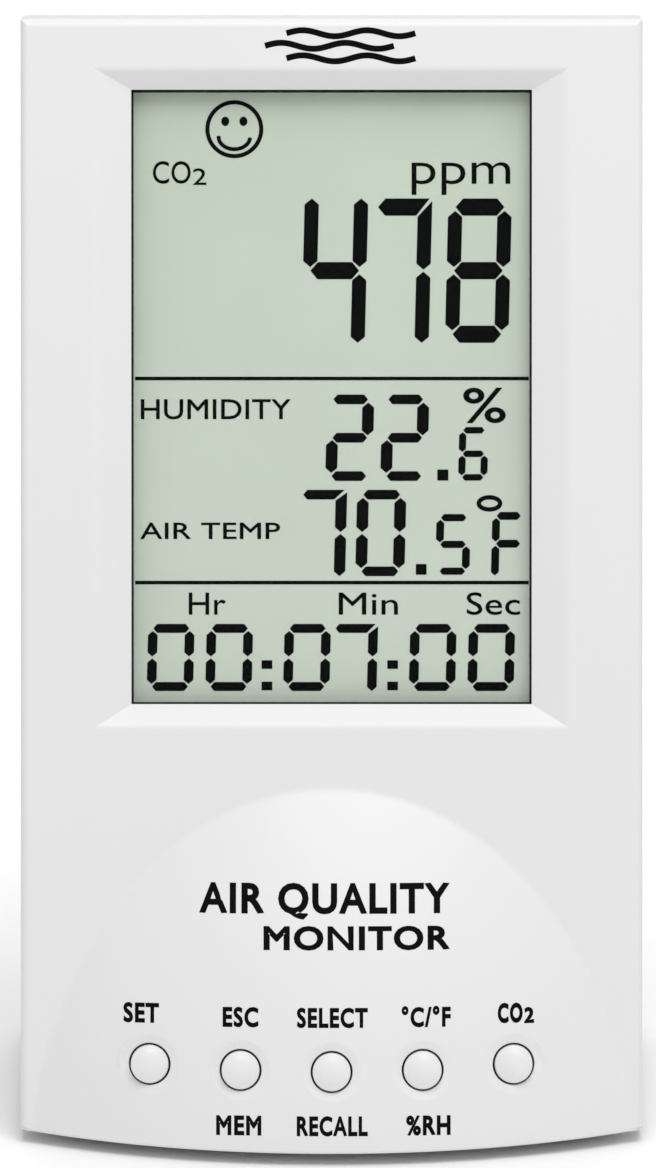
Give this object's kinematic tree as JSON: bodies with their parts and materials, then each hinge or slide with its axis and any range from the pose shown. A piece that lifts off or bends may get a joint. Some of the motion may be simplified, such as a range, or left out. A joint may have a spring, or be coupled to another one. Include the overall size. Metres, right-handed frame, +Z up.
{
  "type": "carbon dioxide monitor",
  "caption": "Free-standing desktop air monitor: leaning white case with a tall segment display, push keys on a dome, vents at the back and a low-voltage inlet.",
  "frame": {"origin": "centre of the bounding box's bottom face, on the table under the middle of the case", "axes": "+Z up, the display faces -Y and leans back, +X to the right as seen from the front"},
  "size_m": [0.087, 0.081, 0.155],
  "materials": {
    "cover_plastic": "fine moulded texture, white",
    "key_plastic": "smooth moulded white",
    "clear_window": "clear flat acrylic",
    "black_foam": "closed-cell foam",
    "lcd_film": "grey-green reflective film",
    "lcd_glass": "thin display glass",
    "holder_plastic": "natural moulded plastic",
    "contact_rubber": "layered conductive rubber",
    "circuit_board": "green solder mask",
    "plated_steel": "zinc plated",
    "chip_plastic": "moulded epoxy",
    "capacitor_sleeve": "shrunk sleeve",
    "chip_ceramic": "fired ceramic",
    "black_plastic": "moulded black",
    "connector_plastic": "natural nylon",
    "cable_sheath": "flat grey sheath",
    "red_sheath": "red sheath",
    "gold_plate": "bright plated",
    "filter_membrane": "white porous membrane",
    "lamp_glass": "small bulb",
    "sensor_plastic": "white vented case",
    "foot_rubber": "soft dark rubber"
  },
  "bodies": {
    "monitor": {"front_cover": "cover_plastic", "rear_cover": "cover_plastic", "display_window": "clear_window", "window_gasket": "black_foam", "lcd_front_polariser": "lcd_film", "lcd_front_glass": "lcd_glass", "lcd_rear_glass": "lcd_glass", "lcd_reflector": "lcd_film", "lcd_holder": "holder_plastic", "zebra_connectors": "contact_rubber", "main_board": "circuit_board", "main_board_screws": "plated_steel", "controller_chip": "chip_plastic", "memory_chip": "chip_plastic", "clock_crystal": "plated_steel", "board_capacitors": "capacitor_sleeve", "board_passives": "chip_ceramic", "buzzer": "black_plastic", "board_connectors": "connector_plastic", "key_switches": "black_plastic", "sensor_cable": "cable_sheath", "humidity_cable": "cable_sheath", "power_cable": "red_sheath", "sensor_board": "circuit_board", "sensor_board_screws": "plated_steel", "sensor_chamber": "gold_plate", "chamber_lid": "gold_plate", "air_filter": "filter_membrane", "ir_lamp": "lamp_glass", "ir_detector": "plated_steel", "sensor_chip": "chip_plastic", "humidity_board": "circuit_board", "humidity_board_screws": "plated_steel", "humidity_sensor": "sensor_plastic", "jack_board": "circuit_board", "jack_board_screws": "plated_steel", "dc_jack": "black_plastic", "jack_pin": "plated_steel", "housing_screws": "plated_steel", "rubber_feet": "foot_rubber"},
    "key_set": {"button_set": "key_plastic", "plunger_set": "black_plastic"},
    "key_esc": {"button_esc": "key_plastic", "plunger_esc": "black_plastic"},
    "key_select": {"button_select": "key_plastic", "plunger_select": "black_plastic"},
    "key_units": {"button_units": "key_plastic", "plunger_units": "black_plastic"},
    "key_co2": {"button_co2": "key_plastic", "plunger_co2": "black_plastic"}
  },
  "joints": [
    {"name": "press_set", "type": "slide", "parent": "monitor", "child": "key_set", "axis": [0, 0.9848, -0.1736], "range_m": [0, 0.0005], "stiffness_N_per_m": 800, "springref_m": -0.001},
    {"name": "press_esc", "type": "slide", "parent": "monitor", "child": "key_esc", "axis": [0, 0.9848, -0.1736], "range_m": [0, 0.0005], "stiffness_N_per_m": 800, "springref_m": -0.001},
    {"name": "press_select", "type": "slide", "parent": "monitor", "child": "key_select", "axis": [0, 0.9848, -0.1736], "range_m": [0, 0.0005], "stiffness_N_per_m": 800, "springref_m": -0.001},
    {"name": "press_units", "type": "slide", "parent": "monitor", "child": "key_units", "axis": [0, 0.9848, -0.1736], "range_m": [0, 0.0005], "stiffness_N_per_m": 800, "springref_m": -0.001},
    {"name": "press_co2", "type": "slide", "parent": "monitor", "child": "key_co2", "axis": [0, 0.9848, -0.1736], "range_m": [0, 0.0005], "stiffness_N_per_m": 800, "springref_m": -0.001}
  ]
}
